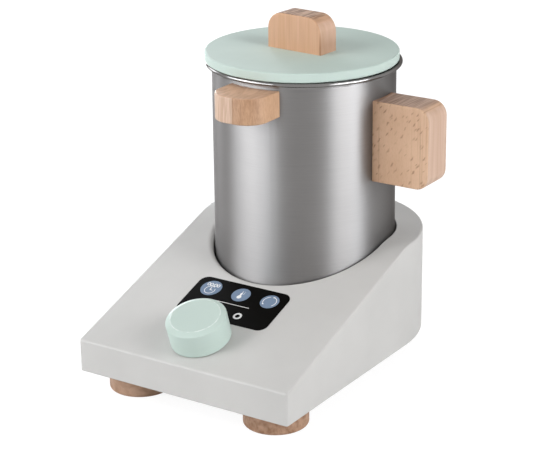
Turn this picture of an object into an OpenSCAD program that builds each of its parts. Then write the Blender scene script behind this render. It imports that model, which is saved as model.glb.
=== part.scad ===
// Toy food processor: a wedge-shaped wooden base on four feet, with a turning knob,
// and a steel pot with a lid that both lift off. Lengths are in millimetres.
// The part stands on Z = 0 with the controls facing -Y, and its origin is below the
// middle of its bounding box.

/* [Base] */
// Wood left round the pocket that holds the pot
pocket_rim = 15.7; // [13:0.1:20]
// Radial gap between the pot and its pocket
pocket_gap = 1.1; // [0.8:0.1:3]
// Rounding of the pocket's mouth
mouth_ease = 2; // [1:0.1:3]
// Height of the front edge above the underside
front_h = 19.3; // [17:0.1:24]
// Slope of the control face, in degrees
slope = 18.55; // [14:0.05:22]
// Rounding of the base's outer edges
base_ease = 1.1; // [0.8:0.1:3]

/* [Base plate] */
// Thickness of the board let into the underside
plate_t = 6; // [4:0.5:7]
// Margin of the base left round the board
plate_inset = 4; // [3:0.1:5]
// Gap round the board in its rebate
plate_gap = 0.2; // [0.1:0.05:0.5]

/* [Feet] */
// Radius of a foot
foot_r = 18.4; // [15:0.1:20]
// Height of a foot
foot_h = 13; // [9:0.5:18]
// Rounding of a foot's edges
foot_ease = 1.6; // [0.5:0.1:3]
// Side of the base to the middle of a foot
foot_side_in = 24; // [22:0.5:28]
// Front face to the middle of a front foot
foot_front_in = 25.5; // [23:0.5:29]

/* [Control panel] */
// Width of the black panel
panel_w = 61.8; // [50:0.1:76]
// Length of the panel up the slope
panel_l = 33.4; // [26:0.1:42]
// Corner radius of the panel
panel_corner = 5.5; // [2:0.1:8]
// Thickness of the panel
panel_t = 1.2; // [0.8:0.1:2]
// How far the panel stands proud of the slope
panel_proud = 0.2; // [0.1:0.05:0.3]
// Gap round the panel in its recess
panel_gap = 0.15; // [0.05:0.05:0.3]
// Panel to the mouth of the pocket, along the slope
panel_back = 2.6; // [1:0.1:5]
// Sideways place of the panel
panel_side = -1.2; // [-4:0.1:4]

/* [Knob] */
// Radius of the knob
knob_r = 17.4; // [14:0.1:20]
// Height of the knob
knob_h = 15.8; // [12:0.1:20]
// Width of the bevel round the knob's top
knob_bevel = 3.2; // [1:0.1:5]
// Height of that bevel
knob_bevel_h = 1.7; // [0.5:0.1:3]
// Front edge to the knob, along the slope
knob_front = 7.1; // [4:0.1:12]
// How far the knob reaches over the panel
knob_lap = 1.5; // [0:0.1:3]
// Gap between the knob and the slope
knob_gap = 0.5; // [0.4:0.1:1]
// Sideways place of the knob
knob_side = -1.6; // [-4:0.1:4]

/* [Knob spindle] */
// Radius of the dowel that carries the knob
spindle_r = 4; // [3:0.1:5]
// Depth of the dowel in the knob
spindle_in = 9; // [7:0.5:10]
// Radial running gap of the dowel in the base
spindle_gap = 0.06; // [0.03:0.01:0.1]
// Depth of the knob's screw in the dowel
spindle_bite = 10; // [8:0.5:12]
// Radius of the washers on the dowel
washer_r = 8.5; // [7.5:0.1:10]
// Thickness of the flat washer
washer_t = 1.2; // [1:0.1:2]
// Height of the dished friction washer
dish_h = 1.6; // [1.2:0.1:2.2]
// Thickness of the dished washer's metal
dish_t = 0.5; // [0.4:0.05:0.8]
// Radial gap between the dowel and the dished washer
dish_gap = 0.8; // [0.5:0.1:1.2]
// Free height under the screw head in the knob's cavity
cavity_gap = 1.5; // [1:0.1:3]

/* [Pot] */
// Outer radius of the pot
pot_r = 53.5; // [45:0.5:62]
// Height of the pot
pot_h = 158.4; // [135:0.1:185]
// Thickness of the steel
pot_wall = 0.8; // [0.6:0.1:1.2]
// Outer radius of the pot's bottom corner
pot_corner = 8; // [5:0.5:12]
// Radius of the rolled bead round the rim
bead_r = 1.1; // [0.9:0.1:2]
// How far the rim reaches beyond the pot's wall
rim_out = 3.6; // [3:0.1:5]
// Gap under the pot on the base plate
pot_seat = 0.2; // [0.1:0.1:0.5]

/* [Pot handle] */
// Reach of the handle from the pot
handle_reach = 35; // [26:0.1:42]
// Thickness of the handle
handle_t = 21.5; // [16:0.1:24]
// Height of the handle
handle_h = 47.8; // [40:0.1:56]
// Radius of the handle's outer corners
handle_corner = 8.2; // [5:0.1:12]
// Rim of the pot to the top of the handle
handle_down = 15.3; // [12:0.1:40]
// Spacing of the handle's two screws
handle_pitch = 28; // [22:0.5:32]
// Depth of a handle screw in the wood
handle_bite = 18; // [14:0.5:22]

/* [Front grip] */
// Reach of the grip from the pot
grip_reach = 22.7; // [19:0.1:28]
// Width of the grip
grip_w = 32.4; // [28:0.1:38]
// Height of the grip
grip_h = 15.3; // [12:0.1:17]
// Radius of the grip's front corners
grip_corner = 13; // [6:0.1:14]
// Rim of the pot to the top of the grip
grip_down = 5.2; // [4:0.1:12]
// Spacing of the grip's two screws
grip_pitch = 16.4; // [13:0.1:20]
// Depth of a grip screw in the wood
grip_bite = 13; // [10:0.5:15]

/* [Lid] */
// How far the lid's edge lies inside the rim's
lid_in = 0.8; // [0:0.1:2.5]
// Thickness of the lid's disc
lid_t = 5.5; // [3:0.1:7]
// Rounding of the lid's edges
lid_ease = 0.9; // [0.5:0.1:1.4]
// Gap between the lid and the rim
lid_seat = 0.2; // [0.1:0.05:0.5]
// Radial gap between the lid's plug and the pot
plug_gap = 2.2; // [1.5:0.1:3]
// Thickness of the plug
plug_t = 5.5; // [4:0.1:7]
// Play of the lid, sideways
lid_side = -1; // [-1:0.1:1]
// Play of the lid, front to back
lid_fore = -0.5; // [-1:0.1:1]
// Turn of the loose lid, in degrees
lid_turn = -4; // [-180:1:180]

/* [Lid handle] */
// Length of the lid's handle
lid_block_l = 37.8; // [30:0.1:44]
// Thickness of the lid's handle
lid_block_t = 15.5; // [11:0.1:18]
// Height of the lid's handle
lid_block_h = 21.1; // [17:0.1:26]
// Radius of its upper corners
lid_block_corner = 9.8; // [5:0.1:13]
// Spacing of the lid's two screws
lid_pitch = 18; // [14:0.5:21]
// Depth of a lid screw in the handle
lid_bite = 10; // [8:0.5:13]

/* [Fasteners] */
// Radius of a wood screw's shank
screw_r = 1.75; // [1.4:0.05:2.1]
// Radius of a screw head
head_r = 3.4; // [2.9:0.1:4]
// Height of a screw head
head_h = 2; // [1.6:0.1:2.6]
// Length of a screw's point
screw_tip = 3; // [2:0.1:4]
// Gap between a screw and its hole
screw_gap = 0.05; // [0.02:0.01:0.15]
// Gap between parts that are glued or screwed together
fit_gap = 0.05; // [0.02:0.01:0.15]
// Radius of the cup washers under the screws in the pot
cup_r = 4.6; // [4.2:0.1:5.4]
// Thickness of those washers
cup_t = 0.8; // [0.6:0.1:1.2]
// Depth of a foot screw in its foot
foot_bite = 7; // [5:0.5:8]
// Depth of a plate screw in the base
plate_bite = 10; // [7:0.5:12]
// Rounding of the wooden blocks' edges
wood_ease = 0.8; // [0.5:0.1:2.5]

/* [Hidden] */

// Overrun of every cut
cut = 1;
// Direction of the controls and of the grip, in degrees from +X
front = -90;
// Segments of a large circle, and of a small round or a rounded edge
large = 144;
small = 40;
// Steps in a rounded edge
ease_steps = 3;

// Base, measured from the pot's axis and from the underside
pocket_r = pot_r + pocket_gap;
base_r = pocket_r + pocket_rim;
knob_up = knob_front + knob_r;
panel_low = knob_up + knob_r - knob_lap;
panel_up = panel_low + panel_l / 2;
deck_l = panel_low + panel_l + panel_back;
base_front = pocket_r + mouth_ease + deck_l * cos(slope);
rear_h = front_h + base_front * tan(slope);

// Knob's axis, measured along it from the slope
knob_depth = (front_h + knob_up * sin(slope) - plate_t) / cos(slope);
stack_h = dish_h + washer_t + head_h;
cavity_l = stack_h + washer_r * tan(slope) + cavity_gap;
cavity_r = washer_r + cavity_gap;
web = knob_depth - cavity_l;
spindle_end = web + dish_h;

// Pot, lid and overall size
pot_z = foot_h + plate_t + pot_seat;
rim_z = pot_z + pot_h;
rim_r = pot_r + rim_out;
inner_r = pot_r - pot_wall;
flare_r = bead_r;
cup_seat = sqrt(pow(inner_r, 2) - pow(cup_r, 2)) - fit_gap;
handle_z = rim_z - handle_down - handle_h / 2;
grip_z = rim_z - grip_down - grip_h / 2;
grip_turn = asin(grip_pitch / 2 / cup_seat);
lid_z = rim_z + lid_seat;
plug_r = inner_r - plug_gap;

// Feet, screws and the middle of the bounding box
foot_x = base_r - foot_side_in;
foot_rear = foot_x * sin(45);
front_feet_y = foot_front_in - base_front;
plate_r = base_r - plate_inset;
plate_ring = (pocket_r + plate_r) / 2;
plate_front_x = foot_r + screw_r;
plate_front_y = plate_inset + plate_ring - pocket_r + head_r - base_front;
mid_x = (pot_r + handle_reach - base_r) / 2;
mid_y = (base_r - base_front) / 2;

// General shapes

// A ball whose poles are exact, for rounded corners
module ball(r) {
    rotate_extrude($fn = small) intersection() {
        circle(r, $fn = small);
        translate([0, -r]) square([r, 2 * r]);
    }
}

// A disc with rounded edges
module eased_disc(r, t, ease) {
    rotate_extrude($fn = large) {
        square([r - ease, t]);
        translate([0, ease]) square([r, t - 2 * ease]);
        for (z = [ease, t - ease]) translate([r - ease, z]) circle(ease, $fn = small);
    }
}

// A flat rectangle with round corners, about its middle
module round_rect(w, l, corner) {
    square([w, l - 2 * corner], center = true);
    square([w - 2 * corner, l], center = true);
    for (x = [-1, 1], y = [-1, 1]) {
        translate([x * (w / 2 - corner), y * (l / 2 - corner)]) circle(corner, $fn = small);
    }
}

// A slab of thickness t about Z = 0 whose faces end in rounded edges: its outline is
// drawn by the children, drawn in by $inset
module eased_slab(t, ease) {
    hull() for (k = [0 : ease_steps]) let ($inset = ease * (1 - cos(90 * k / ease_steps))) {
        half = t / 2 - ease * (1 - sin(90 * k / ease_steps));
        translate([0, 0, -half]) linear_extrude(2 * half) children();
    }
}

// A quarter of a ring, in the direction of -X and turned by whole quarters
module quarter_ring(r, wall, quarter) {
    rotate(90 * quarter) intersection() {
        difference() {
            circle(r, $fn = small);
            circle(r - wall, $fn = small);
        }
        translate([-r, 0]) square(r);
    }
}

// Fasteners, each along +Z with the underside of its head at Z = 0

module pan_screw(l) {
    rotate_extrude($fn = small) {
        polygon([[0, 0], [screw_r, 0], [screw_r, l - screw_tip], [0, l]]);
        translate([0, -head_h]) square([head_r, head_h]);
    }
}

// A countersunk screw, whose flat head is at Z = 0
module flat_screw(l) {
    rotate_extrude($fn = small)
        polygon([[0, 0], [head_r, 0], [screw_r, head_h], [screw_r, l - screw_tip], [0, l]]);
}

// The hole for either, with a countersink where it is asked for
module screw_hole(l, sink = false) {
    translate([0, 0, -cut]) cylinder(r = screw_r + screw_gap, h = l + cut + screw_gap, $fn = small);
    if (sink) {
        rotate_extrude($fn = small) polygon([
            [0, -cut], [head_r + screw_gap, -cut], [head_r + screw_gap, 0],
            [screw_r + screw_gap, head_h + screw_gap], [0, head_h + screw_gap]
        ]);
    }
}

module ring(r, bore, t) {
    difference() {
        cylinder(r = r, h = t, $fn = small);
        translate([0, 0, -cut]) cylinder(r = bore, h = t + 2 * cut, $fn = small);
    }
}

// Places

// Puts the pot's axis where it stands in the part's own frame
module on_axis(z = 0) {
    translate([-mid_x, -mid_y, z]) children();
}

// The control face: X to the right, Y up the slope from the front edge, Z out of it
module on_slope(side, up) {
    on_axis(foot_h) translate([side, -base_front, front_h]) rotate([slope, 0, 0])
        translate([0, up, 0]) children();
}

module at_feet() {
    for (k = [0 : 3]) at_foot(k) children();
}

// Feet are numbered front left, front right, rear left, rear right
module at_foot(k) {
    side = k % 2 == 0 ? -1 : 1;
    x = k < 2 ? foot_x : foot_rear;
    on_axis() translate([side * x, k < 2 ? front_feet_y : foot_rear, 0]) children();
}

module at_plate_screws() {
    on_axis(foot_h) {
        for (turn = [0, 90, 180]) rotate(turn) translate([plate_ring, 0, 0]) children();
        for (side = [-1, 1]) translate([side * plate_front_x, plate_front_y, 0]) children();
    }
}

// A place on the inside of the pot, with +Z pointing outwards
module in_pot(turn, z) {
    on_axis(z) rotate(turn) translate([cup_seat, 0, 0]) rotate([0, 90, 0]) children();
}

module at_handle_screws() {
    for (side = [-1, 1]) in_pot(0, handle_z + side * handle_pitch / 2) children();
}

module at_grip_screws() {
    for (side = [-1, 1]) in_pot(front + side * grip_turn, grip_z) children();
}

module on_lid(z) {
    on_axis(lid_z + z) translate([lid_side, lid_fore, 0]) rotate(lid_turn) children();
}

module at_lid_screws() {
    for (side = [-1, 1]) on_lid(-plug_t) translate([side * lid_pitch / 2, 0, 0]) children();
}

// Base

// The base's outside: a round rear end and a straight front, joined by the slope
module base_outside() {
    corner_x = base_r - base_ease;
    corner_y = base_ease - base_front;
    top_z = rear_h + corner_y * tan(slope) - base_ease / cos(slope);
    hull() {
        for (z = [base_ease, rear_h - base_ease]) translate([0, 0, z])
            rotate_extrude(angle = 180, $fn = large) translate([corner_x, 0])
                circle(base_ease, $fn = small / 2);
        for (side = [-1, 1], z = [base_ease, top_z])
            translate([side * corner_x, corner_y, z]) ball(base_ease);
    }
}

// The plan of the base, drawn in by an inset
module base_plan(inset) {
    circle(base_r - inset, $fn = large);
    translate([inset - base_r, inset - base_front]) square([2 * (base_r - inset), base_front - inset]);
}

// What is cut away to round the edge of a bore that opens at Z = 0
module mouth_ring() {
    edge = [for (k = [0 : ease_steps]) [
        pocket_r + mouth_ease * (1 - cos(90 * k / ease_steps)),
        -mouth_ease * (1 - sin(90 * k / ease_steps))
    ]];
    rotate_extrude(angle = 180, $fn = large) polygon(concat(
        [[pocket_r - cut, -mouth_ease]], edge,
        [[pocket_r + mouth_ease, cut], [pocket_r - cut, cut]]
    ));
}

// The edge of the pocket's mouth: its rear half lies on the flat top, and its front
// half on the slope, which leans it over without widening it
module mouth_rounding() {
    translate([0, 0, rear_h]) mouth_ring();
    multmatrix([[1, 0, 0, 0], [0, 1, 0, 0], [0, tan(slope), 1, rear_h], [0, 0, 0, 1]])
        rotate(180) mouth_ring();
}

module base_block() {
    color("gainsboro") difference() {
        on_axis(foot_h) difference() {
            base_outside();
            translate([0, 0, -cut]) cylinder(r = pocket_r, h = rear_h + 2 * cut, $fn = large);
            mouth_rounding();
            translate([0, 0, -cut]) linear_extrude(plate_t + cut) base_plan(plate_inset);
        }
        on_slope(panel_side, panel_up) translate([0, 0, panel_proud - panel_t])
            linear_extrude(panel_t + cut)
                round_rect(panel_w + 2 * panel_gap, panel_l + 2 * panel_gap, panel_corner);
        on_slope(knob_side, knob_up) {
            translate([0, 0, -knob_depth])
                cylinder(r = spindle_r + spindle_gap, h = knob_depth + cut, $fn = small);
            translate([0, 0, -web - 2 * cavity_l])
                cylinder(r = cavity_r, h = 2 * cavity_l, $fn = small);
        }
        at_plate_screws() screw_hole(plate_t + plate_bite);
    }
}

module base_plate() {
    color("burlywood") difference() {
        on_axis(foot_h) linear_extrude(plate_t) base_plan(plate_inset + plate_gap);
        at_plate_screws() screw_hole(plate_t + cut, true);
        at_feet() translate([0, 0, foot_h + plate_t]) mirror([0, 0, 1]) screw_hole(plate_t + cut, true);
    }
}

module plate_screws() {
    color("silver") at_plate_screws() flat_screw(plate_t + plate_bite);
}

module foot(k) {
    color("burlywood") difference() {
        at_foot(k) eased_disc(foot_r, foot_h, foot_ease);
        at_foot(k) translate([0, 0, foot_h]) mirror([0, 0, 1]) screw_hole(foot_bite);
    }
}

module foot_screws() {
    color("silver") at_feet() translate([0, 0, foot_h + plate_t]) mirror([0, 0, 1])
        flat_screw(plate_t + foot_bite);
}

module control_panel() {
    color("black") on_slope(panel_side, panel_up) translate([0, 0, panel_proud - panel_t])
        linear_extrude(panel_t) round_rect(panel_w, panel_l, panel_corner);
}

// Knob, on a dowel that turns in the base and is held from below

module knob() {
    color("lightcyan") on_slope(knob_side, knob_up) translate([0, 0, knob_gap]) difference() {
        rotate_extrude($fn = large) polygon([
            [0, 0], [knob_r, 0], [knob_r, knob_h - knob_bevel_h],
            [knob_r - knob_bevel, knob_h], [0, knob_h]
        ]);
        translate([0, 0, -cut])
            cylinder(r = spindle_r + fit_gap, h = spindle_in + fit_gap + cut, $fn = small);
    }
}

module knob_spindle() {
    color("burlywood") on_slope(knob_side, knob_up) difference() {
        translate([0, 0, -spindle_end])
            cylinder(r = spindle_r, h = spindle_end + knob_gap + spindle_in, $fn = small);
        translate([0, 0, -spindle_end]) screw_hole(spindle_bite);
    }
}

// A cone of spring steel that presses up on the base and gives the knob its friction
module knob_dished_washer() {
    bore = spindle_r + dish_gap;
    color("silver") on_slope(knob_side, knob_up) translate([0, 0, fit_gap - spindle_end])
        rotate_extrude($fn = small) polygon([
            [washer_r, 0], [washer_r, dish_t], [bore, dish_h - 2 * fit_gap], [bore, dish_h - dish_t]
        ]);
}

module knob_flat_washer() {
    color("silver") on_slope(knob_side, knob_up) translate([0, 0, -spindle_end - washer_t])
        ring(washer_r, screw_r + screw_gap, washer_t);
}

module knob_screw() {
    color("silver") on_slope(knob_side, knob_up) translate([0, 0, -spindle_end - washer_t])
        pan_screw(washer_t + spindle_bite);
}

// Pot, a deep drawn cup with a rolled rim

module pot_profile() {
    flare_z = pot_h - flare_r - pot_wall;
    bead_x = rim_r - bead_r;
    square([pot_r - pot_corner, pot_wall]);
    translate([pot_r - pot_corner, pot_corner]) quarter_ring(pot_corner, pot_wall, 2);
    translate([inner_r, pot_corner]) square([pot_wall, flare_z - pot_corner]);
    translate([pot_r + flare_r, flare_z]) quarter_ring(flare_r + pot_wall, pot_wall, 0);
    translate([pot_r + flare_r, pot_h - pot_wall]) square([bead_x - pot_r - flare_r, pot_wall]);
    translate([bead_x, pot_h - bead_r]) circle(bead_r, $fn = small);
}

module pot() {
    color("silver") difference() {
        on_axis(pot_z) rotate_extrude($fn = large) pot_profile();
        at_handle_screws() screw_hole(pot_r - cup_seat + cut);
        at_grip_screws() screw_hole(pot_r - cup_seat + cut);
    }
}

// A block that sits on the pot's wall and reaches out along +X: across is its size
// along Y, t its thickness along Z, and chord whichever of the two lies across the pot
module saddle_block(across, t, reach, corner, chord) {
    start = sqrt(pow(pot_r, 2) - pow(chord / 2, 2)) - cut;
    eased_slab(t, wood_ease) {
        translate([start, $inset - across / 2]) square([cut, across - 2 * $inset]);
        for (side = [-1, 1]) translate([pot_r + reach - corner, side * (across / 2 - corner)])
            circle(corner - $inset, $fn = small);
    }
}

// What the pot takes out of a block that sits on it
module saddle() {
    on_axis() cylinder(r = pot_r + fit_gap, h = rim_z, $fn = large);
}

module pot_handle() {
    color("burlywood") difference() {
        on_axis(handle_z) rotate([90, 0, 0])
            saddle_block(handle_h, handle_t, handle_reach, handle_corner, handle_t);
        saddle();
        at_handle_screws() screw_hole(pot_r - cup_seat + handle_bite);
    }
}

module handle_screws() {
    color("silver") at_handle_screws() translate([0, 0, -cup_t])
        pan_screw(cup_t + pot_r - cup_seat + handle_bite);
}

module handle_cups() {
    color("silver") at_handle_screws() translate([0, 0, -cup_t])
        ring(cup_r, screw_r + screw_gap, cup_t);
}

module front_grip() {
    color("burlywood") difference() {
        on_axis(grip_z) rotate(front) saddle_block(grip_w, grip_h, grip_reach, grip_corner, grip_w);
        saddle();
        at_grip_screws() screw_hole(pot_r - cup_seat + grip_bite);
    }
}

module grip_screws() {
    color("silver") at_grip_screws() translate([0, 0, -cup_t])
        pan_screw(cup_t + pot_r - cup_seat + grip_bite);
}

module grip_cups() {
    color("silver") at_grip_screws() translate([0, 0, -cup_t])
        ring(cup_r, screw_r + screw_gap, cup_t);
}

// Lid, a disc with a plug below and a block to hold on top

module lid_disc() {
    color("lightcyan") difference() {
        on_lid(0) eased_disc(rim_r - lid_in, lid_t, lid_ease);
        at_lid_screws() screw_hole(plug_t + lid_t + cut);
    }
}

module lid_plug() {
    color("lightcyan") difference() {
        on_lid(-plug_t) eased_disc(plug_r, plug_t, lid_ease);
        at_lid_screws() screw_hole(plug_t + cut, true);
    }
}

module lid_handle() {
    color("burlywood") difference() {
        on_lid(lid_t) rotate([90, 0, 0]) eased_slab(lid_block_t, wood_ease) {
            translate([$inset - lid_block_l / 2, 0]) square([lid_block_l - 2 * $inset, cut]);
            for (side = [-1, 1])
                translate([side * (lid_block_l / 2 - lid_block_corner), lid_block_h - lid_block_corner])
                    circle(lid_block_corner - $inset, $fn = small);
        }
        at_lid_screws() screw_hole(plug_t + lid_t + lid_bite);
    }
}

module lid_screws() {
    color("silver") at_lid_screws() flat_screw(plug_t + lid_t + lid_bite);
}

base_block();
base_plate();
plate_screws();
foot(0);  // foot_front_left
foot(1);  // foot_front_right
foot(2);  // foot_rear_left
foot(3);  // foot_rear_right
foot_screws();
control_panel();
knob();
knob_spindle();
knob_dished_washer();
knob_flat_washer();
knob_screw();
pot();
pot_handle();
handle_screws();
handle_cups();
front_grip();
grip_screws();
grip_cups();
lid_disc();
lid_plug();
lid_handle();
lid_screws();
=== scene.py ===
"""Looks of the toy food processor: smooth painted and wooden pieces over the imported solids,
printed signs, materials, studio and camera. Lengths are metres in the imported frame."""
import math

import bmesh
import bpy
from mathutils import Matrix, Vector


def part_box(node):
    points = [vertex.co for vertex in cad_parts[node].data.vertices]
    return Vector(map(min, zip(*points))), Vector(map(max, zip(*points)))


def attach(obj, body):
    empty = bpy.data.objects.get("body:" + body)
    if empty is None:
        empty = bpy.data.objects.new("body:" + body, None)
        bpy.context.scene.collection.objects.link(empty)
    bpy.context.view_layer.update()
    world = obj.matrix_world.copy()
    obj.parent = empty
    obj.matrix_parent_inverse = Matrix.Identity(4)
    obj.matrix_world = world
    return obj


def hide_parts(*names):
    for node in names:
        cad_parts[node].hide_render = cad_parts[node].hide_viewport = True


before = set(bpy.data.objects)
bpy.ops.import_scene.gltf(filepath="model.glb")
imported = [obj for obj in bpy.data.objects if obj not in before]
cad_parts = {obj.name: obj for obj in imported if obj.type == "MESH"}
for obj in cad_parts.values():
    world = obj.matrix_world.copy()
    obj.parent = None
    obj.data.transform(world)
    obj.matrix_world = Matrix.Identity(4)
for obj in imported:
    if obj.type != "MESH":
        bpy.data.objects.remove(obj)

MM = 0.001
UPRIGHT = math.radians(90)

# Sizes of the part that its solids' boxes don't give
POT_R = 53.5 * MM
SADDLE_GAP = 0.05 * MM
POCKET_GAP = 1.1 * MM
SLOPE = math.radians(18.55)
PLATE_T = 6 * MM
PLATE_INSET = 4 * MM
LID_TURN = math.radians(-4)
LID_BLOCK_L = 37.8 * MM
WOOD_EASE = 0.8 * MM
# Steps of each rounded edge
EASE_STEPS = 6

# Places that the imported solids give
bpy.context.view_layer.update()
base_lo, base_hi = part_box("base_block")
pot_lo, pot_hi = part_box("pot")
AXIS = Vector(((pot_lo.x + pot_hi.x) / 2, (pot_lo.y + pot_hi.y) / 2, 0))
BASE_R = (base_hi.x - base_lo.x) / 2
BASE_FRONT = AXIS.y - base_lo.y
BASE_Z = base_lo.z
REAR_TOP = base_hi.z
FRONT_TOP = REAR_TOP - BASE_FRONT * math.tan(SLOPE)
POCKET_R = POT_R + POCKET_GAP


# General helpers

def linear(red, green, blue):
    """A colour written as it shows, 0 to 255, as the shader's linear colour."""
    def channel(value):
        part = value / 255
        return part / 12.92 if part <= 0.04045 else ((part + 0.055) / 1.055) ** 2.4
    return (channel(red), channel(green), channel(blue), 1)


def quarter(steps):
    """Pairs of sine and cosine over a quarter turn."""
    angles = [math.pi / 2 * k / steps for k in range(steps + 1)]
    return [(math.sin(a), math.cos(a)) for a in angles]


def arc(cx, cy, radius, start, end, steps):
    """Points of an arc, in degrees, both ends included."""
    angles = [math.radians(start + (end - start) * k / steps) for k in range(steps + 1)]
    return [(cx + radius * math.cos(a), cy + radius * math.sin(a)) for a in angles]


def finish_mesh(name, bm, sharp=38):
    """Makes an object of a mesh: edges above the sharp angle stay crisp, flat faces flat."""
    bmesh.ops.remove_doubles(bm, verts=bm.verts, dist=0.001 * MM)
    bmesh.ops.dissolve_degenerate(bm, edges=bm.edges, dist=0.001 * MM)
    bmesh.ops.recalc_face_normals(bm, faces=bm.faces)
    for face in bm.faces:
        face.smooth = True
    for edge in bm.edges:
        edge.smooth = edge.is_manifold and edge.calc_face_angle(0) < math.radians(sharp)
    mesh = bpy.data.meshes.new(name)
    bm.to_mesh(mesh)
    bm.free()
    piece = bpy.data.objects.new(name, mesh)
    bpy.context.scene.collection.objects.link(piece)
    weighted = piece.modifiers.new("flat_faces", "WEIGHTED_NORMAL")
    weighted.keep_sharp = True
    weighted.weight = 100
    return piece


def skin(bm, loops, ring=False):
    """Joins closed loops, each with as many points: the last to the first in a ring, or
    else with a cap at either end."""
    rows = [[bm.verts.new(point) for point in loop] for loop in loops]
    followers = rows[1:]
    if ring:
        followers.append(rows[0])
    for lower, upper in zip(rows, followers):
        count = len(lower)
        for k in range(count):
            j = (k + 1) % count
            bm.faces.new((lower[k], lower[j], upper[j], upper[k]))
    if not ring:
        bm.faces.new(reversed(rows[0]))
        bm.faces.new(rows[-1])


def dress(piece, body, material, slot, *nodes):
    """Puts a new piece on its body, with its finish, in place of the nodes it stands for."""
    piece.data.materials.append(material)
    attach(piece, body)
    if nodes:
        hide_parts(*nodes)


def coat_node(name, material):
    """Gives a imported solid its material."""
    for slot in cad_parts[name].material_slots:
        slot.link = "OBJECT"
        slot.material = material


# Materials

class Shader:
    """A material's node tree with a principled shader, and short calls to add nodes to it."""

    def __init__(self, name, **values):
        self.material = bpy.data.materials.new(name)
        self.material.use_nodes = True
        self.tree = self.material.node_tree
        self.surface = self.tree.nodes["Principled BSDF"]
        self.set(**values)

    def set(self, **values):
        """Sets or links the shader's sockets, named in plain words with underscores."""
        for key, value in values.items():
            self.join(self.surface.inputs[key.replace("_", " ")], value)

    def join(self, socket, value):
        """Links an output to a socket, or sets the socket to a plain value."""
        if isinstance(value, bpy.types.NodeSocket):
            self.tree.links.new(value, socket)
        else:
            socket.default_value = value

    def add(self, kind, out, inputs, **settings):
        """Adds a node; inputs go by socket name or number. Returns the named output."""
        node = self.tree.nodes.new("ShaderNode" + kind)
        for key, value in settings.items():
            setattr(node, key, value)
        for key, value in inputs.items():
            self.join(node.inputs[key], value)
        return node.outputs[out]

    def place(self):
        """The point on the resting piece, in metres."""
        return self.add("TexCoord", "Object", {})

    def part(self, vector, axis):
        return self.add("SeparateXYZ", axis, {"Vector": vector})

    def turned(self, vector, turn):
        return self.add("Mapping", "Vector", {"Vector": vector, "Rotation": turn})

    def stretched(self, vector, per_metre):
        return self.add("Mapping", "Vector", {"Vector": vector, "Scale": per_metre})

    def noise(self, vector, detail=2.0, rough=0.5, distortion=0.0):
        inputs = {
            "Vector": vector, "Scale": 1.0, "Detail": detail,
            "Roughness": rough, "Distortion": distortion,
        }
        return self.add("TexNoise", "Fac", inputs)

    def span(self, value, low, high, to_low=0.0, to_high=1.0):
        """Maps the values from low to high onto another range, clamped."""
        inputs = {
            "Value": value, "From Min": low, "From Max": high,
            "To Min": to_low, "To Max": to_high,
        }
        return self.add("MapRange", "Result", inputs)

    def math(self, operation, first, second=0.0):
        return self.add("Math", 0, {0: first, 1: second}, operation=operation)

    def times(self, first, second):
        return self.math("MULTIPLY", first, second)

    def off(self, value, middle):
        """How far a value lies from another, on either side."""
        return self.math("ABSOLUTE", self.math("SUBTRACT", value, middle))

    def facing(self, axis, low=0.55, high=0.8):
        """How far the resting surface faces along an axis, as a share with soft ends."""
        normal = self.add("TexCoord", "Normal", {})
        return self.span(self.math("ABSOLUTE", self.part(normal, axis)), low, high)

    def distance(self, vector, point):
        return self.add("VectorMath", "Value", {0: vector, 1: point}, operation="DISTANCE")

    def blend(self, share, first, second):
        """Mixes two colours; share is a number or a socket."""
        node = self.tree.nodes.new("ShaderNodeMix")
        node.data_type = "RGBA"
        for k, value in ((0, share), (6, first), (7, second)):
            self.join(node.inputs[k], value)
        return node.outputs[2]

    def bump(self, height, depth, strength=1.0, under=None):
        """Adds relief; depth is the real height in metres of a full step."""
        inputs = {"Strength": strength, "Distance": depth, "Height": height}
        if under is not None:
            inputs["Normal"] = under
        return self.add("Bump", "Normal", inputs)


def varied(shade, less, more):
    """A darker and a lighter version of a colour."""
    dark = [part * less for part in shade[:3]] + [1]
    light = [min(1, part * more) for part in shade[:3]] + [1]
    return dark, light


def painted_wood(name, shade, rough, grain=0.02 * MM, shine=0.22, ring=None):
    """Sprayed paint on wood: faint mottling, orange peel and a trace of the grain. A ring,
    given as centre, radius and colour, is a painted highlight along a rounded edge, broken
    up."""
    paint = Shader(name, Specular_IOR_Level=shine)
    place = paint.place()
    cloud = paint.noise(paint.stretched(place, (28, 28, 28)), 3.0)
    peel = paint.noise(paint.stretched(place, (900, 900, 900)), 2.0)
    fibre = paint.noise(paint.stretched(place, (60, 900, 700)), 3.0)
    dark, light = varied(shade, 0.965, 1.025)
    colour = paint.blend(paint.span(cloud, 0.3, 0.7), dark, light)
    # The ring is painted light: a lighter line in dashes where a rounded edge would catch a
    # lamp
    if ring:
        centre, radius, painted_highlight = ring
        off = paint.off(paint.distance(place, centre), radius)
        broken = paint.noise(paint.stretched(place, (260, 260, 260)), 1.0)
        dashes = paint.span(broken, 0.4, 0.6, 0.15, 0.75)
        line = paint.times(paint.span(off, 0.4 * MM, 0.15 * MM), dashes)
        colour = paint.blend(line, colour, painted_highlight)
    relief = paint.bump(peel, 0.012 * MM)
    relief = paint.bump(fibre, grain, 0.6, relief)
    gloss = paint.span(cloud, 0.3, 0.7, rough + 0.04, rough - 0.04)
    paint.set(Base_Color=colour, Roughness=gloss, Normal=relief)
    return paint.material


def streaks(wood, place, per_metre, low, high, wave=0.0):
    """A share from 0 to 1 that changes at the given rates along X, Y and Z."""
    return wood.span(wood.noise(wood.stretched(place, per_metre), 2.0, 0.5, wave), low, high)


def fine_pores(wood, place):
    return wood.noise(wood.stretched(place, (1500, 1500, 420)), 2.0)


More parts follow.
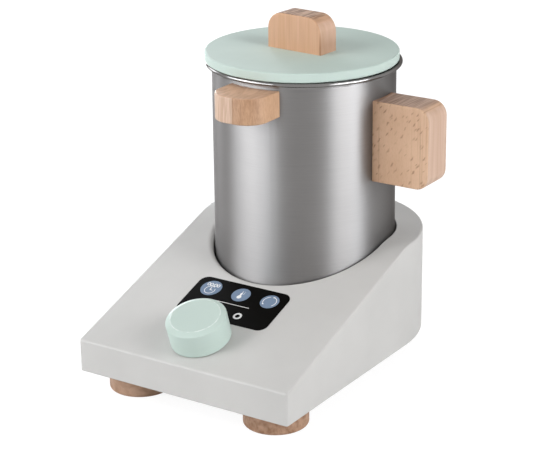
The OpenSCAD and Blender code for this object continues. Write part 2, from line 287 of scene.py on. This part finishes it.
def flecks(wood, place, lean, kept):
    """The short dark rays of beech on a face along X and Z, leaning from X towards Z."""
    flat = wood.turned(place, (-UPRIGHT, 0, -lean))
    drift = wood.times(wood.noise(wood.stretched(flat, (350, 350, 1)), 1.0), 1.6 * MM)
    bent = wood.add("VectorMath", "Vector", {0: flat, 1: drift}, operation="ADD")
    cells = wood.tree.nodes.new("ShaderNodeTexVoronoi")
    cells.voronoi_dimensions = "2D"
    cells.inputs["Scale"].default_value = 1.0
    wood.join(cells.inputs["Vector"], wood.stretched(bent, (175, 560, 1)))
    # Each cell's colour gives its chance to show, its depth and its size
    chance, depth, size = (wood.part(cells.outputs["Color"], axis) for axis in "XYZ")
    reach = wood.span(size, 0, 1, 0.24, 0.46)
    spot = wood.span(cells.outputs["Distance"], reach, 0.1)
    picked = wood.span(chance, 1 - kept - 0.03, 1 - kept + 0.03)
    return wood.times(wood.times(spot, picked), wood.span(depth, 0, 1, 0.3, 1))


def finish_wood(wood, colour, pores, rough=0.5, fleck=None):
    """Adds the relief and the sheen of sanded and lightly oiled beech."""
    relief = wood.bump(pores, 0.025 * MM)
    if fleck is not None:
        relief = wood.bump(wood.math("SUBTRACT", 1.0, fleck), 0.04 * MM, 0.5, relief)
    gloss = wood.span(pores, 0.3, 0.7, rough - 0.05, rough + 0.08)
    wood.set(Base_Color=colour, Roughness=gloss, Normal=relief, Specular_IOR_Level=0.25)
    return wood.material


def handle_wood():
    """The pot's handle: flecks on the broad faces, pale streaks up the end, lines on top."""
    wood = Shader("beech_handle")
    place = wood.place()
    lo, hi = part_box("pot_handle")
    across = wood.part(place, "X")
    pores = fine_pores(wood, place)
    end, top = wood.facing("X"), wood.facing("Z", 0.8, 0.98)
    # Broad faces: soft clouds, paler to the right, with fine lines near the end
    colour = wood.blend(streaks(wood, place, (45, 40, 38), 0.3, 0.7), *HANDLE_FACE)
    colour = wood.blend(wood.span(pores, 0.5, 0.7, 0, 0.3), colour, HANDLE_LINE)
    paler = wood.span(across, lo.x + 14 * MM, hi.x - 4 * MM, 0, 0.5)
    colour = wood.blend(paler, colour, HANDLE_PALE)
    near_end = wood.span(across, hi.x - 16 * MM, hi.x - 5 * MM, 0.15, 0.6)
    line = wood.times(streaks(wood, place, (800, 200, 22), 0.5, 0.75), near_end)
    colour = wood.blend(line, colour, HANDLE_LINE)
    # Two upright growth lines, and the flecks
    for x, strong in ((lo.x + 4.2 * MM, 0.55), (hi.x - 5.2 * MM, 0.4)):
        line = wood.times(wood.span(wood.off(across, x), 0.45 * MM, 0.1 * MM), strong)
        line = wood.times(line, streaks(wood, place, (20, 20, 40), 0.35, 0.55))
        colour = wood.blend(line, colour, HANDLE_RAY)
    fleck = wood.times(flecks(wood, place, math.radians(54), 0.38), 0.8)
    fleck = wood.times(fleck, wood.math("SUBTRACT", 1.0, end))
    colour = wood.blend(fleck, colour, HANDLE_RAY)
    strip = wood.blend(streaks(wood, place, (150, 360, 14), 0.3, 0.7), *HANDLE_END)
    colour = wood.blend(end, colour, strip)
    # Top: lines that fade away from the pot, and painted shade where the top meets the pot
    lines = wood.blend(streaks(wood, place, (900, 45, 60), 0.36, 0.64), *HANDLE_TOP)
    away = wood.span(across, lo.x + 2 * MM, hi.x - 9 * MM, 0, 0.4)
    lines = wood.blend(away, lines, HANDLE_END[0])
    flat = wood.add("VectorMath", "Vector", {0: place, 1: (1, 1, 0)}, operation="MULTIPLY")
    from_pot = wood.math("SUBTRACT", wood.distance(flat, AXIS), POT_R)
    # Painted shadow: the top turns darker within about 2 mm of the pot's wall
    lines = wood.blend(wood.span(from_pot, 2.2 * MM, 0.8 * MM, 0, 0.8), lines, HANDLE_RAY)
    colour = wood.blend(top, colour, lines)
    return finish_wood(wood, colour, pores, fleck=fleck)


def lid_handle_wood():
    """The lid's handle: soft upright streaks, dark end grain on top and a pinkish end."""
    lo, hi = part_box("lid_handle")
    centre = (lo + hi) / 2
    along = centre.x * math.cos(LID_TURN) + centre.y * math.sin(LID_TURN)
    corner = along + LID_BLOCK_L / 2 - 0.5 * MM
    wood = Shader("beech_lid_handle")
    place = wood.turned(wood.place(), (0, 0, -LID_TURN))
    pores = fine_pores(wood, place)
    end, top = wood.facing("X"), wood.facing("Z", 0.7, 1)
    colour = wood.blend(streaks(wood, place, (200, 120, 12), 0.3, 0.7, 0.3), *LID_FACE)
    fine = wood.times(streaks(wood, place, (900, 500, 22), 0.45, 0.75), 0.4)
    colour = wood.blend(fine, colour, LID_LINE)
    side = wood.blend(streaks(wood, place, (150, 240, 30), 0.3, 0.7, 0.6), *LID_END)
    colour = wood.blend(end, colour, side)
    # A darker growth ring runs out at the right hand corner, low down
    off = wood.off(wood.part(place, "X"), corner)
    low_down = wood.span(wood.part(place, "Z"), lo.z + 14 * MM, lo.z + 5 * MM, 0, 0.75)
    ring = wood.times(wood.span(off, 0.8 * MM, 0.2 * MM), low_down)
    colour = wood.blend(ring, colour, LID_RING)
    grain = wood.blend(streaks(wood, place, (620, 70, 120), 0.4, 0.6, 0.3), *LID_TOP)
    colour = wood.blend(top, colour, grain)
    return finish_wood(wood, colour, pores)


def grip_wood(seam):
    """The front grip, glued from a pale and a warm piece that meet at one value of X."""
    wood = Shader("beech_grip")
    place = wood.place()
    across = wood.part(place, "X")
    pores = fine_pores(wood, place)
    pale = wood.blend(streaks(wood, place, (520, 380, 40), 0.4, 0.6, 1.4), *GRIP_PALE)
    warm = wood.blend(streaks(wood, place, (70, 60, 50), 0.3, 0.7, 1.2), *GRIP_WARM)
    fine = wood.times(streaks(wood, place, (420, 300, 60), 0.45, 0.7, 1.6), 0.45)
    warm = wood.blend(fine, warm, GRIP_LINE)
    warm = wood.blend(wood.span(pores, 0.45, 0.7, 0, 0.5), warm, GRIP_LINE)
    right_end = wood.span(across, seam + 13 * MM, seam + 16 * MM, 0, 0.75)
    warm = wood.blend(right_end, warm, GRIP_RIGHT)
    glue = wood.span(wood.off(across, seam + 0.3 * MM), 0.5 * MM, 0.1 * MM, 0, 0.6)
    warm = wood.blend(glue, warm, GRIP_LINE)
    colour = wood.blend(wood.span(across, seam - 0.1 * MM, seam + 0.1 * MM), pale, warm)
    grain = wood.blend(streaks(wood, place, (220, 60, 80), 0.35, 0.65, 1.4), *GRIP_TOP)
    colour = wood.blend(wood.facing("Z"), colour, grain)
    return finish_wood(wood, colour, pores)


def plain_beech(name, per_metre, tones):
    """Turned beech: soft stripes along the slow axis and fine pores."""
    wood = Shader(name)
    place = wood.place()
    pores = fine_pores(wood, place)
    colour = wood.blend(streaks(wood, place, per_metre, 0.35, 0.65, 0.3), *tones)
    colour = wood.blend(wood.span(pores, 0.55, 0.72, 0.0, 0.35), colour, tones[0])
    return finish_wood(wood, colour, pores, 0.55)


def brushed_steel(name, shade, rough, along, rim_from=None):
    """Steel with fine brushing; along is how fast the scratches change per metre and axis.
    A spun pot also has its gloss stretched round Z, and a smoother rim from some height."""
    steel = Shader(name, Metallic=1.0)
    place = steel.place()
    fine = steel.noise(steel.stretched(place, along), 3.0, 0.65)
    cloud = steel.noise(steel.stretched(place, (30, 30, 30)), 2.0)
    dark, light = varied(shade, 0.95, 1.05)
    tone = steel.math("ADD", steel.times(fine, 0.7), steel.times(cloud, 0.3))
    colour = steel.blend(steel.span(tone, 0.38, 0.62), dark, light)
    gloss = steel.span(fine, 0.3, 0.7, rough - 0.03, rough + 0.04)
    if rim_from is not None:
        height = steel.part(place, "Z")
        gloss = steel.times(gloss, steel.span(height, rim_from, rim_from + 1 * MM, 1, 0.45))
        round_axis = steel.add("Tangent", "Tangent", {}, direction_type="RADIAL", axis="Z")
        steel.set(Anisotropic=0.75, Anisotropic_Rotation=0.25, Tangent=round_axis)
        steel.set(Specular_Tint=STEEL_EDGE)
    steel.set(Base_Color=colour, Roughness=gloss, Normal=steel.bump(fine, 0.003 * MM))
    return steel.material


def printed(name, shade, rough):
    """Ink on the panel, slightly uneven."""
    ink = Shader(name, Specular_IOR_Level=0.01)
    grain = ink.noise(ink.stretched(ink.place(), (1500, 1500, 1500)), 2.0)
    dark, light = varied(shade, 0.93, 1.0)
    colour = ink.blend(ink.span(grain, 0.3, 0.7), dark, light)
    gloss = ink.span(grain, 0.3, 0.7, rough - 0.05, rough + 0.05)
    ink.set(Base_Color=colour, Roughness=gloss, Normal=ink.bump(grain, 0.006 * MM))
    return ink.material


# Colours as they show in plain light; a pair is mixed by the grain
LIGHT_GREY = linear(204, 203, 201)
BOARD_GREY = linear(196, 194, 190)
MINT_LID = linear(200, 217, 210)
MINT_KNOB = linear(199, 216, 209)
# Colour of the painted highlight along the knob's bevel edge
MINT_PAINTED_HIGHLIGHT = linear(240, 248, 245)
STEEL = linear(124, 122, 121)
STEEL_EDGE = linear(160, 158, 157)
ZINC = linear(176, 177, 178)
BLACK = linear(14, 13, 12)
ICON_BLUE = linear(128, 147, 172)
ICON_WHITE = linear(250, 250, 250)
HANDLE_FACE = (linear(203, 164, 133), linear(214, 176, 145))
HANDLE_PALE = linear(220, 185, 155)
HANDLE_LINE = linear(178, 136, 104)
HANDLE_RAY = linear(140, 98, 70)
HANDLE_END = (linear(194, 160, 137), linear(212, 183, 164))
HANDLE_TOP = (linear(132, 104, 90), linear(190, 160, 141))
LID_FACE = (linear(204, 158, 120), linear(216, 170, 138))
LID_LINE = linear(184, 138, 100)
LID_END = (linear(202, 164, 138), linear(217, 182, 160))
LID_RING = linear(150, 102, 68)
LID_TOP = (linear(134, 98, 74), linear(198, 162, 134))
GRIP_PALE = (linear(198, 165, 141), linear(216, 186, 164))
GRIP_WARM = (linear(182, 142, 111), linear(202, 163, 131))
GRIP_RIGHT = linear(218, 178, 144)
GRIP_LINE = linear(160, 119, 88)
GRIP_TOP = (linear(196, 156, 127), linear(218, 178, 148))
FOOT_TONES = (linear(164, 129, 104), linear(192, 157, 133))
# The front right foot's beech is darker: painted shade, not another wood
RIGHT_FOOT_SHADED_TONES = (linear(146, 110, 84), linear(182, 146, 121))
DOWEL_TONES = (linear(196, 156, 122), linear(214, 176, 144))

base_paint = painted_wood("light_grey_paint", LIGHT_GREY, 0.55)
board_paint = painted_wood("board_paint", BOARD_GREY, 0.62)
mint_lid = painted_wood("mint_matt_paint", MINT_LID, 0.58, shine=0.12)
pot_steel = brushed_steel("pot_steel", STEEL, 0.42, (45, 45, 5000), pot_hi.z - 4.5 * MM)
screw_steel = brushed_steel("screw_steel", ZINC, 0.3, (900, 900, 900))
panel_ink = printed("panel_black", BLACK, 0.42)
icon_ink = printed("icon_blue", ICON_BLUE, 0.45)
white_ink = printed("icon_white", ICON_WHITE, 0.45)
handle_beech = handle_wood()
lid_beech = lid_handle_wood()
grip_beech = grip_wood(AXIS.x + 1.5 * MM)
foot_beech = plain_beech("beech_feet", (150, 90, 200), FOOT_TONES)
# A darker copy of the feet's beech, as painted shade on the front right foot
right_foot_shaded_beech = plain_beech("beech_right_foot_painted_shade", (330, 330, 260), RIGHT_FOOT_SHADED_TONES)
dowel_beech = plain_beech("beech_dowel", (420, 420, 20), DOWEL_TONES)


# Base

def top_height(y):
    """Height of the base's top at a distance y behind the pot's axis: flat, then sloping."""
    soft = 5 * MM
    drop = math.tan(SLOPE)
    if y > soft:
        return REAR_TOP
    if y < -soft:
        return REAR_TOP + y * drop
    return REAR_TOP - drop * (soft - y) ** 2 / (4 * soft)


def bend(x, y, radius, start, end, steps):
    """Points of an arc with the outward normal at each."""
    ways = [Vector(way) for way in arc(0, 0, 1, start, end, steps)]
    return [(Vector((x, y)) + way * radius, way) for way in ways]


def base_outline(corner, columns):
    """Points and outward normals round the base, from +X over the rear to the front."""
    span, side_end = BASE_R - corner, BASE_FRONT - corner
    side_steps = columns // 2
    down_side = [-side_end * k / side_steps for k in range(1, side_steps)]
    over_front = [span * (2 * k / columns - 1) for k in range(1, columns)]
    rows = bend(0, 0, BASE_R, 0, 180, columns)
    rows += [(Vector((-BASE_R, y)), Vector((-1, 0))) for y in down_side]
    rows += bend(-span, -side_end, corner, 180, 270, 8)
    rows += [(Vector((x, -BASE_FRONT)), Vector((0, -1))) for x in over_front]
    rows += bend(span, -side_end, corner, 270, 360, 8)
    rows += [(Vector((BASE_R, y)), Vector((1, 0))) for y in reversed(down_side)]
    return rows


def inset_point(point, normal, inset):
    """A point of the outline, drawn in, without crossing over at the front corners."""
    moved = point - normal * inset
    if point.y >= 0:
        return moved
    limit = BASE_R - inset
    return Vector((max(-limit, min(limit, moved.x)), max(inset - BASE_FRONT, moved.y)))


def base_column(point, normal):
    """One column of the base's skin, from the pocket over the top and side to the rebate."""
    top_ease, lower_ease = 1.1 * MM, 0.8 * MM
    way = point.normalized()
    # The pocket's mouth is rounder towards the front left
    mouth_ease = max(0.4, 1.4 - 1.6 * way.x - 1.2 * way.y) * MM
    rounding = quarter(EASE_STEPS)
    column = [(way * POCKET_R, BASE_Z + PLATE_T)]
    for rise, run in rounding:
        spot = way * (POCKET_R + mouth_ease * (1 - run))
        column.append((spot, top_height(spot.y) - mouth_ease * (1 - rise)))
    # A row close to either rounding keeps the shading between them flat
    for share in (0.04, 0.96):
        outer = inset_point(point, normal, top_ease)
        spot = (way * (POCKET_R + mouth_ease)).lerp(outer, share)
        column.append((spot, top_height(spot.y)))
    for rise, run in reversed(rounding):
        spot = inset_point(point, normal, top_ease * (1 - run))
        column.append((spot, top_height(spot.y) - top_ease * (1 - rise)))
    for rise, run in rounding:
        spot = inset_point(point, normal, lower_ease * (1 - run))
        column.append((spot, BASE_Z + lower_ease * (1 - rise)))
    rebate = inset_point(point, normal, PLATE_INSET)
    column += [(rebate, BASE_Z), (rebate, BASE_Z + PLATE_T)]
    return [Vector((spot.x + AXIS.x, spot.y + AXIS.y, z)) for spot, z in column]


def make_base():
    corner, columns = 1.6 * MM, 96
    outline = base_outline(corner, columns)
    bm = bmesh.new()
    skin(bm, [base_column(point, normal) for point, normal in outline], ring=True)
    dress(finish_mesh("base_body", bm), "base", base_paint, "base_paint", "base_block")


# Wooden blocks

def eased_layers(thickness, ease, middle=0):
    """Pairs of inset and offset for a slab whose faces end in rounded edges."""
    upper = [
        (ease * (1 - run), thickness / 2 - ease * (1 - rise))
        for rise, run in quarter(EASE_STEPS)
    ]
    flat = thickness / 2 - ease
    between = [(0, flat * (2 * k / (middle + 1) - 1)) for k in range(1, middle + 1)]
    lower = [(inset, -offset) for inset, offset in reversed(upper)]
    return lower + between + upper


def slab(name, layers, outline, place):
    """A block from the outline at each inset and offset, put in its place."""
    bm = bmesh.new()
    loops = []
    for inset, offset in layers:
        loops.append([place(x, y, offset) for x, y in outline(inset, offset)])
    skin(bm, loops)
    return finish_mesh(name, bm)


def make_pot_handle():
    lo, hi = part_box("pot_handle")
    corner = 8.2 * MM
    saddle = POT_R + SADDLE_GAP
    reach = hi.x - AXIS.x
    mid_z, half = (lo.z + hi.z) / 2, (hi.z - lo.z) / 2

    def outline(inset, offset):
        start = math.sqrt(saddle ** 2 - offset ** 2)
        end, top = reach - corner, half - corner
        lower = arc(end, -top, corner - inset, -90, 0, 10)
        upper = arc(end, top, corner - inset, 0, 90, 10)
        return [(start, inset - half)] + lower + upper + [(start, half - inset)]

    def place(x, z, y):
        return (AXIS.x + x, AXIS.y + y, mid_z + z)

    # Layers between the faces follow the curve of the pot
    layers = eased_layers(hi.y - lo.y, WOOD_EASE, 9)
    piece = slab("handle_block", layers, outline, place)
    dress(piece, "pot", handle_beech, "beech", "pot_handle")


def make_front_grip():
    lo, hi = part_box("front_grip")
    corner = 13 * MM
    saddle = POT_R + SADDLE_GAP
    reach = AXIS.y - lo.y
    half = (hi.x - lo.x) / 2
    mid_z = (lo.z + hi.z) / 2

    def outline(inset, offset):
        seat = math.degrees(math.asin((half - inset) / saddle))
        inner = arc(0, 0, saddle, -90 + seat, -90 - seat, 16)
        left = arc(corner - half, corner - reach, corner - inset, 180, 270, 12)
        right = arc(half - corner, corner - reach, corner - inset, 270, 360, 12)
        return inner + left + right

    def place(x, y, z):
        return (AXIS.x + x, AXIS.y + y, mid_z + z)

    layers = eased_layers(hi.z - lo.z, WOOD_EASE)
    piece = slab("grip_block", layers, outline, place)
    dress(piece, "pot", grip_beech, "beech", "front_grip")


def make_lid_handle():
    lo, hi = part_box("lid_handle")
    thickness, corner = 15.5 * MM, 9.8 * MM
    half, up = LID_BLOCK_L / 2, hi.z - lo.z - corner
    turn = Matrix.Rotation(LID_TURN, 3, "Z")
    centre = Vector(((lo.x + hi.x) / 2, (lo.y + hi.y) / 2, lo.z))

    def outline(inset, offset):
        right = arc(half - corner, up, corner - inset, 0, 90, 12)
        left = arc(corner - half, up, corner - inset, 90, 180, 12)
        return [(half - inset, 0)] + right + left + [(inset - half, 0)]

    def place(x, z, y):
        return centre + turn @ Vector((x, y, z))

    layers = eased_layers(thickness, WOOD_EASE)
    piece = slab("lid_block", layers, outline, place)
    dress(piece, "lid", lid_beech, "beech", "lid_handle")


# Control face: its own frame has X to the right, Y up the slope and Z out of it

FACE = (
    Matrix.Translation(Vector((AXIS.x, AXIS.y - BASE_FRONT, FRONT_TOP)))
    @ Matrix.Rotation(SLOPE, 4, "X")
)


def on_face(u, v, out):
    return FACE @ Vector((u, v, out))


def rounded_profile(corners, steps=6):
    """A profile from corners given as x, y and rounding; the two ends have none."""
    points = []
    for k, (x, y, r) in enumerate(corners):
        here = Vector((x, y))
        if r == 0:
            points.append(here)
            continue
        before = (Vector(corners[k - 1][:2]) - here).normalized()
        after = (Vector(corners[k + 1][:2]) - here).normalized()
        half = math.acos(max(-1, min(1, before.dot(after)))) / 2
        length = r / math.tan(half)
        centre = here + (before + after).normalized() * (r / math.sin(half))
        start, end = here + before * length - centre, here + after * length - centre
        turn = start.angle_signed(end)
        for j in range(steps + 1):
            points.append(centre + start @ Matrix.Rotation(turn * j / steps, 2))
    return points


def make_knob():
    radius, height, gap = 17.4 * MM, 15.8 * MM, 0.5 * MM
    bevel, bevel_h = 3.2 * MM, 1.7 * MM
    centre_u, centre_v = -1.6 * MM, 24.5 * MM
    # The profile stops just short of the axis, so that each end closes with a cap
    inner, sides = 0.2 * MM, 128
    top = gap + height
    profile = rounded_profile([
        (inner, gap, 0), (radius, gap, 0.4 * MM), (radius, top - bevel_h, 0.9 * MM),
        (radius - bevel, top, 0.8 * MM), (inner, top, 0),
    ])
    loops = []
    for point in profile:
        circle = arc(centre_u, centre_v, point.x, 0, 360 - 360 / sides, sides - 1)
        loops.append([on_face(u, v, point.y) for u, v in circle])
    bm = bmesh.new()
    skin(bm, loops)
    # A painted highlight in dashes along the inner edge of the bevel
    edge = (on_face(centre_u, centre_v, top), radius - bevel, MINT_PAINTED_HIGHLIGHT)
    paint = painted_wood("mint_satin_paint", MINT_KNOB, 0.45, 0.006 * MM, 0.06, edge)
    dress(finish_mesh("knob_cap", bm), "dial", paint, "mint_gloss", "knob")


# Printed signs on the panel

PANEL_TOP = 0.2 * MM
INK_T = 0.03 * MM


def printed_sign(name, shapes, level, material):
    """Flat closed shapes, each one outline, as a thin layer of ink on lower layers."""
    low = PANEL_TOP + level * INK_T
    bm = bmesh.new()
    for shape in shapes:
        skin(bm, [[on_face(u, v, out) for u, v in shape] for out in (low, low + INK_T)])
    dress(finish_mesh(name, bm, 20), "base", material, "panel_black")


def disc(u, v, radius, sides=48):
    return arc(u, v, radius, 0, 360 - 360 / sides, sides - 1)


def stroke(points, width):
    """A line of some width along points, as one outline."""
    left, right = [], []
    for k, (x, y) in enumerate(points):
        before = Vector(points[max(0, k - 1)])
        after = Vector(points[min(len(points) - 1, k + 1)])
        way = (after - before).normalized() * width / 2
        left.append((x - way.y, y + way.x))
        right.append((x + way.y, y - way.x))
    return left + right[::-1]


def ring_halves(u, v, radius, width, start=0, end=360):
    """An arc or a whole ring of some width, as two outlines."""
    middle = (start + end) / 2
    return [
        stroke(arc(u, v, radius, start, middle, 20), width),
        stroke(arc(u, v, radius, middle, end, 20), width),
    ]


def nought(u, v, wide, high, width):
    """The digit nought as a small upright ring, as two outlines."""
    points = [(u + x * wide / 2, v + y * high / 2) for x, y in arc(0, 0, 1, 0, 360, 24)]
    return [stroke(points[:13], width), stroke(points[12:], width)]


def arrow_head(u, v, radius, angle, size):
    """A triangle at the end of an arc, pointing along it."""
    a = math.radians(angle)
    tip = a + size / radius
    return [
        (u + (radius - size * 0.6) * math.cos(a), v + (radius - size * 0.6) * math.sin(a)),
        (u + (radius + size * 0.6) * math.cos(a), v + (radius + size * 0.6) * math.sin(a)),
        (u + radius * math.cos(tip), v + radius * math.sin(tip)),
    ]


def make_timer_sign(u, v):
    """Four noughts with a colon over a clock."""
    digit_v, clock_v = v + 2.9 * MM, v - 1.6 * MM
    shapes = []
    for offset in (-3.3, -1.35, 1.35, 3.3):
        shapes += nought(u + offset * MM, digit_v, 1.5 * MM, 2.3 * MM, 0.45 * MM)
    for rise in (-0.5, 0.5):
        shapes.append(disc(u, digit_v + rise * MM, 0.26 * MM))
    shapes += ring_halves(u, clock_v, 3.2 * MM, 0.4 * MM, 60, 390)
    for tip in ((u, clock_v + 2.3 * MM), (u + 1.7 * MM, clock_v)):
        shapes.append(stroke([(u, clock_v), tip], 0.5 * MM))
    printed_sign("timer_marks", shapes, 1, white_ink)


def make_heat_sign(u, v):
    """A thermometer with its scale."""
    stem_u = u - 0.2 * MM
    shapes = [
        disc(stem_u, v - 1.9 * MM, 1.45 * MM),
        stroke([(stem_u, v - 1.6 * MM), (stem_u, v + 1.6 * MM)], 1.3 * MM),
        stroke([(stem_u, v + 1.6 * MM), (stem_u, v + 3.2 * MM)], 0.4 * MM),
    ]
    for rise in (1.0, 2.0, 3.0):
        tick = [(u + 0.9 * MM, v + rise * MM), (u + 1.6 * MM, v + rise * MM)]
        shapes.append(stroke(tick, 0.22 * MM))
    printed_sign("heat_marks", shapes, 1, white_ink)


def make_turn_sign(u, v):
    """Two arrows round a circle."""
    radius = 4.1 * MM
    shapes = []
    for start, end in ((-45, 75), (110, 218)):
        shapes += ring_halves(u, v, radius, 0.36 * MM, start, end)
        shapes.append(arrow_head(u, v, radius, end, 1.1 * MM))
    printed_sign("turn_marks", shapes, 1, white_ink)


def make_signs():
    icon_v = 64.8 * MM
    icons = (
        ("timer", -21.2 * MM, 6.5 * MM, make_timer_sign),
        ("heat", -0.5 * MM, 5.75 * MM, make_heat_sign),
        ("turn", 19.1 * MM, 5.7 * MM, make_turn_sign),
    )
    for name, u, radius, _ in icons:
        printed_sign(name + "_disc", [disc(u, icon_v, radius)], 0, icon_ink)
    for _, u, _, make_marks in icons:
        make_marks(u, icon_v)
    middle, line_half, line_v = -0.8 * MM, 11.4 * MM, 55.8 * MM
    line = [(middle - line_half, line_v), (middle + line_half, line_v)]
    printed_sign("panel_line", [stroke(line, 0.4 * MM)], 0, white_ink)
    # The ring stands for off and the bar for on
    mark, mark_v, mark_width = 8.8 * MM, 47.7 * MM, 1.25 * MM
    off_ring = ring_halves(middle + mark, mark_v, 2.05 * MM, mark_width)
    printed_sign("off_mark", off_ring, 0, white_ink)
    bar = [(middle - mark, mark_v - 2.6 * MM), (middle - mark, mark_v + 2.6 * MM)]
    printed_sign("on_mark", [stroke(bar, mark_width)], 0, white_ink)


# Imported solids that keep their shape

def coat_nodes():
    coats = {
        board_paint: ["base_plate"],
        foot_beech: ["foot_front_left", "foot_rear_left", "foot_rear_right"],
        # The front right foot gets the darker beech: painted shade
        right_foot_shaded_beech: ["foot_front_right"],
        dowel_beech: ["knob_spindle"],
        pot_steel: ["pot"],
        mint_lid: ["lid_disc", "lid_plug"],
        panel_ink: ["control_panel"],
        screw_steel: [
            "plate_screws", "foot_screws", "knob_dished_washer", "knob_flat_washer",
            "knob_screw", "handle_screws", "handle_cups", "grip_screws", "grip_cups",
            "lid_screws",
        ],
    }
    for material, names in coats.items():
        for name in names:
            coat_node(name, material)


# Studio. Places of lamps and camera count from the pot's axis.

# Level of the world's light on the object; camera, mirrors and glass see it white
AMBIENT = 0.33

# Name, place, width, height and power
SOFTBOXES = (
    ("left_softbox", (-0.65, -0.85, 0.6), 0.6, 0.9, 8.3),
    ("right_softbox", (1.1, -0.15, 0.6), 0.45, 0.9, 8.6),
)
LAMPS_AIM = (0, 0, 0.1)

# The floor's own grey where it is seen, with a glow on top, and its grey for other light
FLOOR_SEEN = (0.13, 0.13, 0.13, 1)
FLOOR_GLOW = 0.91
FLOOR_PAPER = (0.8, 0.8, 0.8, 1)
FLOOR_HALF = 4.0

# Strips round the pot: degrees from the camera's direction to its left, and power
STRIPS = ((160, 10.7), (130, 4.8), (85, 3.7), (65, 4.5), (45, 4.4), (-40, 3.8), (-65, 7.1))
STRIP_DISTANCE = 0.97
STRIP_HEIGHT = 0.3
STRIP_SIZE = (0.35, 0.6)
STRIP_TINT = (0.9, 0.95, 1)

# The photo's camera, fitted to the edges of the object in it
CAMERA_PLACE = (0.56267, -0.88491, 0.45359)
CAMERA_RIGHT = (0.84613498, 0.53295377, -0.00398331)
CAMERA_UP = (-0.17548108, 0.28564108, 0.94213352)
CAMERA_BACK = (0.50325141, -0.79647313, 0.33521421)
CAMERA_LENS = 122.39
CAMERA_SHIFT = (-0.0634, -0.0160)


def seen_directly(tree):
    """1 for what the camera, a mirror or a glass shows, 0 for the light on the object."""
    path = tree.nodes.new("ShaderNodeLightPath")
    seen = path.outputs["Is Camera Ray"]
    for name in ("Is Glossy Ray", "Is Transmission Ray"):
        either = tree.nodes.new("ShaderNodeMath")
        either.operation = "MAXIMUM"
        tree.links.new(seen, either.inputs[0])
        tree.links.new(path.outputs[name], either.inputs[1])
        seen = either.outputs[0]
    return seen


def make_floor():
    """A floor that glows white where it is seen, and lights the object only as paper does."""
    half = FLOOR_HALF
    corners = [(-half, -half, 0), (half, -half, 0), (half, half, 0), (-half, half, 0)]
    mesh = bpy.data.meshes.new("studio_floor")
    mesh.from_pydata(corners, [], [(0, 1, 2, 3)])
    floor = bpy.data.objects.new("studio_floor", mesh)
    bpy.context.scene.collection.objects.link(floor)
    paper = Shader("floor_paper", Roughness=0.9)
    shown = seen_directly(paper.tree)
    paper.set(Base_Color=paper.blend(shown, FLOOR_PAPER, FLOOR_SEEN))
    paper.set(Emission_Color=(1, 1, 1, 1), Emission_Strength=paper.times(shown, FLOOR_GLOW))
    mesh.materials.append(paper.material)


def make_world():
    world = bpy.data.worlds.new("studio")
    world.use_nodes = True
    bpy.context.scene.world = world
    tree = world.node_tree
    back = tree.nodes["Background"]
    back.inputs["Color"].default_value = (1, 1, 1, 1)
    level = tree.nodes.new("ShaderNodeMapRange")
    level.inputs["To Min"].default_value = AMBIENT
    level.inputs["To Max"].default_value = 1.0
    tree.links.new(seen_directly(tree), level.inputs["Value"])
    tree.links.new(level.outputs["Result"], back.inputs["Strength"])


def area_lamp(name, place, width, height, power):
    """A rectangular lamp whose face looks at the pot."""
    lamp = bpy.data.lights.new(name, "AREA")
    lamp.shape = "RECTANGLE"
    lamp.size = width
    lamp.size_y = height
    lamp.energy = power
    box = bpy.data.objects.new(name, lamp)
    box.location = AXIS + Vector(place)
    away = Vector(place) - Vector(LAMPS_AIM)
    box.rotation_euler = away.to_track_quat("Z", "Y").to_euler()
    box.visible_camera = False
    bpy.context.scene.collection.objects.link(box)
    return box


def make_lamps():
    for name, place, width, height, power in SOFTBOXES:
        area_lamp(name, place, width, height, power)
    # The strips show only in gloss, above all as bright bands up the pot's steel
    camera_side = math.atan2(CAMERA_PLACE[1], CAMERA_PLACE[0])
    for k, (degrees, power) in enumerate(STRIPS):
        angle = camera_side - math.radians(degrees)
        x, y = STRIP_DISTANCE * math.cos(angle), STRIP_DISTANCE * math.sin(angle)
        strip = area_lamp("strip" + str(k), (x, y, STRIP_HEIGHT), *STRIP_SIZE, power)
        strip.data.color = STRIP_TINT
        strip.visible_diffuse = False


def make_camera():
    lens = bpy.data.cameras.new("camera")
    lens.sensor_width = 36
    lens.lens = CAMERA_LENS
    lens.shift_x, lens.shift_y = CAMERA_SHIFT
    camera = bpy.data.objects.new("camera", lens)
    turn = Matrix((CAMERA_RIGHT, CAMERA_UP, CAMERA_BACK)).transposed().to_4x4()
    camera.matrix_world = Matrix.Translation(AXIS + Vector(CAMERA_PLACE)) @ turn
    bpy.context.scene.collection.objects.link(camera)
    bpy.context.scene.camera = camera


make_base()
make_pot_handle()
make_front_grip()
make_lid_handle()
make_knob()
make_signs()
coat_nodes()
make_floor()
make_world()
make_lamps()
make_camera()
bpy.context.scene.view_settings.view_transform = "Standard"
